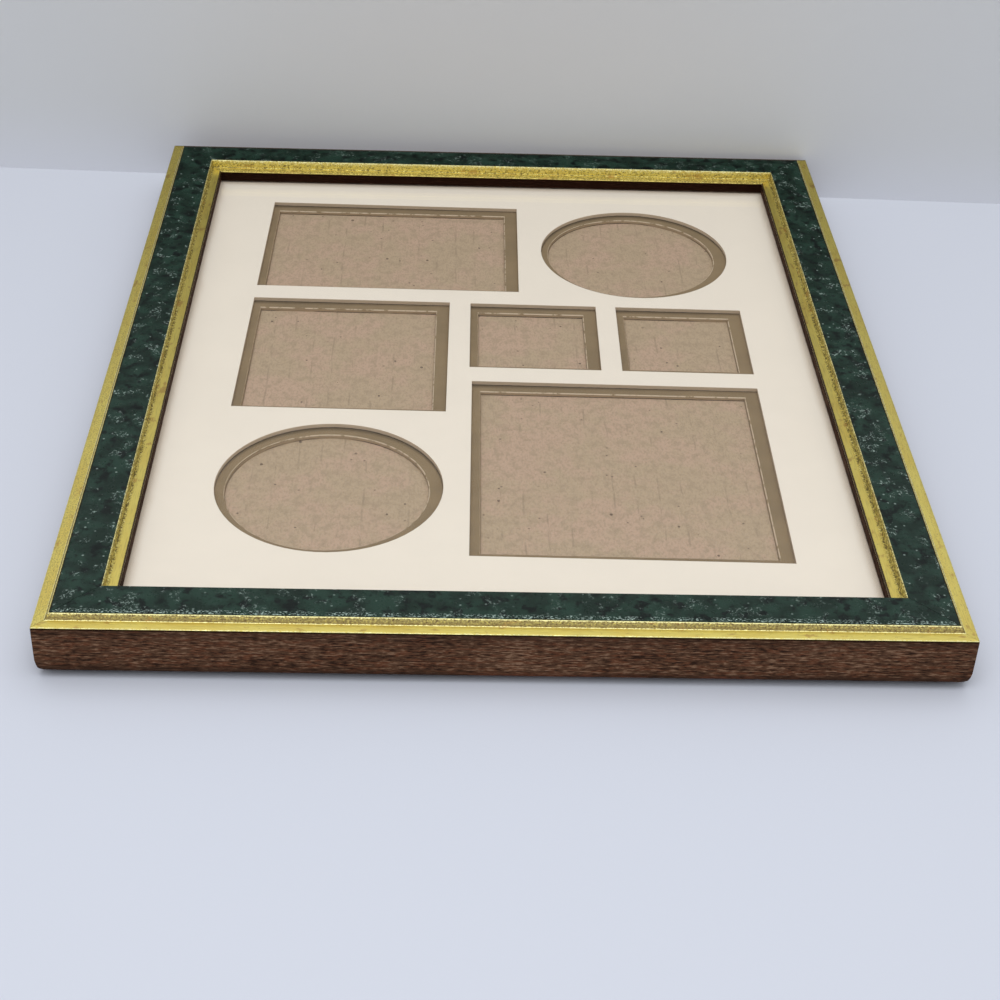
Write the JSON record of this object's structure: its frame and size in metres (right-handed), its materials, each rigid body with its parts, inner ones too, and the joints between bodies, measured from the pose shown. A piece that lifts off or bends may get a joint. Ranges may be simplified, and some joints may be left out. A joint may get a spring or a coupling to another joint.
{
  "type": "collage photo frame",
  "caption": "Mitred rectangular wall frame with a marbled band between gilt edges, glass, and a double mat with rectangular and round openings over a corrugated backing.",
  "frame": {"origin": "middle of the base that the frame rests on when it lies on its back: the heads of its four button screws", "axes": "+X to the right and +Y up as the frame hangs, +Z from the back to the glass"},
  "size_m": [0.231, 0.2818, 0.0176],
  "materials": {
    "brown_wood_wrap": "printed brown wood grain, satin",
    "green_marbled_foil": "dark green marbled foil with pale flecks, satin gloss",
    "gilt_foil": "yellow gilt foil, rubbed and speckled",
    "clear_glass": "clear float glass",
    "cream_mat_board": "matt cream paper face",
    "olive_mat_board": "matt olive brown paper face",
    "kraft_paper": "matt brown kraft paper with specks",
    "hardboard": "smooth brown hardboard",
    "zinc_plated_strip": "zinc plated strip, satin",
    "plain_steel": "bare steel"
  },
  "bodies": {
    "frame": {"rail_top": "brown_wood_wrap", "rail_bottom": "brown_wood_wrap", "rail_left": "brown_wood_wrap", "rail_right": "brown_wood_wrap", "marble_top": "green_marbled_foil", "marble_bottom": "green_marbled_foil", "marble_left": "green_marbled_foil", "marble_right": "green_marbled_foil", "outer_gilt_top": "gilt_foil", "outer_gilt_bottom": "gilt_foil", "outer_gilt_left": "gilt_foil", "outer_gilt_right": "gilt_foil", "inner_gilt_top": "gilt_foil", "inner_gilt_bottom": "gilt_foil", "inner_gilt_left": "gilt_foil", "inner_gilt_right": "gilt_foil", "glass": "clear_glass", "top_mat": "cream_mat_board", "under_mat": "olive_mat_board", "front_liner": "kraft_paper", "fluting": "kraft_paper", "rear_liner": "kraft_paper", "back_panel": "hardboard", "button_screws": "plain_steel", "corner_nails": "plain_steel", "hanger": "zinc_plated_strip", "hanger_nails": "plain_steel"},
    "button_left_upper": {"button_left_upper": "zinc_plated_strip"},
    "button_left_lower": {"button_left_lower": "zinc_plated_strip"},
    "button_right_upper": {"button_right_upper": "zinc_plated_strip"},
    "button_right_lower": {"button_right_lower": "zinc_plated_strip"}
  },
  "joints": [
    {"name": "button_left_upper_turn", "type": "hinge", "parent": "frame", "child": "button_left_upper", "pos_m": [-0.1091, 0.07, 0.0018], "axis": [0, 0, 1], "continuous": true},
    {"name": "button_left_lower_turn", "type": "hinge", "parent": "frame", "child": "button_left_lower", "pos_m": [-0.1091, -0.07, 0.0018], "axis": [0, 0, 1], "continuous": true},
    {"name": "button_right_upper_turn", "type": "hinge", "parent": "frame", "child": "button_right_upper", "pos_m": [0.1091, 0.07, 0.0018], "axis": [0, 0, 1], "continuous": true},
    {"name": "button_right_lower_turn", "type": "hinge", "parent": "frame", "child": "button_right_lower", "pos_m": [0.1091, -0.07, 0.0018], "axis": [0, 0, 1], "continuous": true}
  ]
}
